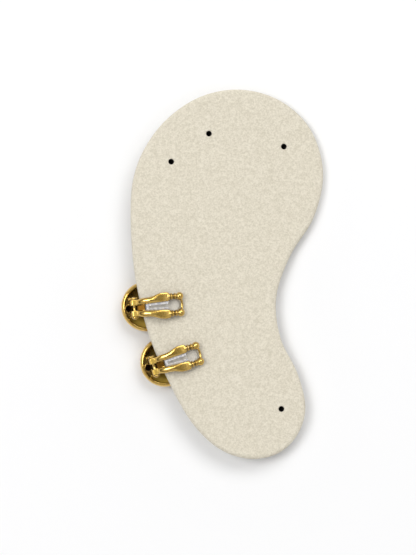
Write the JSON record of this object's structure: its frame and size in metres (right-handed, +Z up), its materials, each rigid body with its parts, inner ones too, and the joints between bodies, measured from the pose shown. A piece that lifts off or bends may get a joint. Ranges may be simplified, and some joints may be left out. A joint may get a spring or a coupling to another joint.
{
  "type": "pair of clip-on earrings on an ear-shaped display pad",
  "caption": "Round domed gold clip-on earrings with hinged levers and clear comfort pads, clipped on the edge of an ear-shaped suede display pad.",
  "frame": {"origin": "middle of the footprint, on the surface that the object rests on", "axes": "+Y along the pad towards its wide end, +X from the clips across the pad, +Z up out of the face that carries the levers"},
  "size_m": [0.0608, 0.111, 0.0114],
  "materials": {
    "suede": "beige microsuede with a fine mottled nap",
    "gold_plate": "polished gold plate over brass",
    "clear_plastic": "clear glossy plastic"
  },
  "bodies": {
    "root": {"display_pad": "suede", "button_lower": "gold_plate", "button_upper": "gold_plate", "hinge_pin_lower": "gold_plate", "hinge_pin_upper": "gold_plate", "spring_leaf_lower": "gold_plate", "spring_leaf_upper": "gold_plate"},
    "lever_lower": {"lever_lower": "gold_plate", "comfort_pad_lower": "clear_plastic"},
    "lever_upper": {"lever_upper": "gold_plate", "comfort_pad_upper": "clear_plastic"}
  },
  "joints": [
    {"name": "lower_clip_hinge", "type": "hinge", "parent": "root", "child": "lever_lower", "pos_m": [-0.02041, -0.02764, 0.00873], "axis": [0.2827, -0.9592, 0.0034], "range_deg": [0, 80], "stiffness_Nm_per_rad": 0.0005, "springref_deg": -17.19},
    {"name": "upper_clip_hinge", "type": "hinge", "parent": "root", "child": "lever_upper", "pos_m": [-0.02625, -0.01026, 0.00872], "axis": [0.0903, -0.9957, 0.0189], "range_deg": [0, 80], "stiffness_Nm_per_rad": 0.0005, "springref_deg": -17.19}
  ]
}
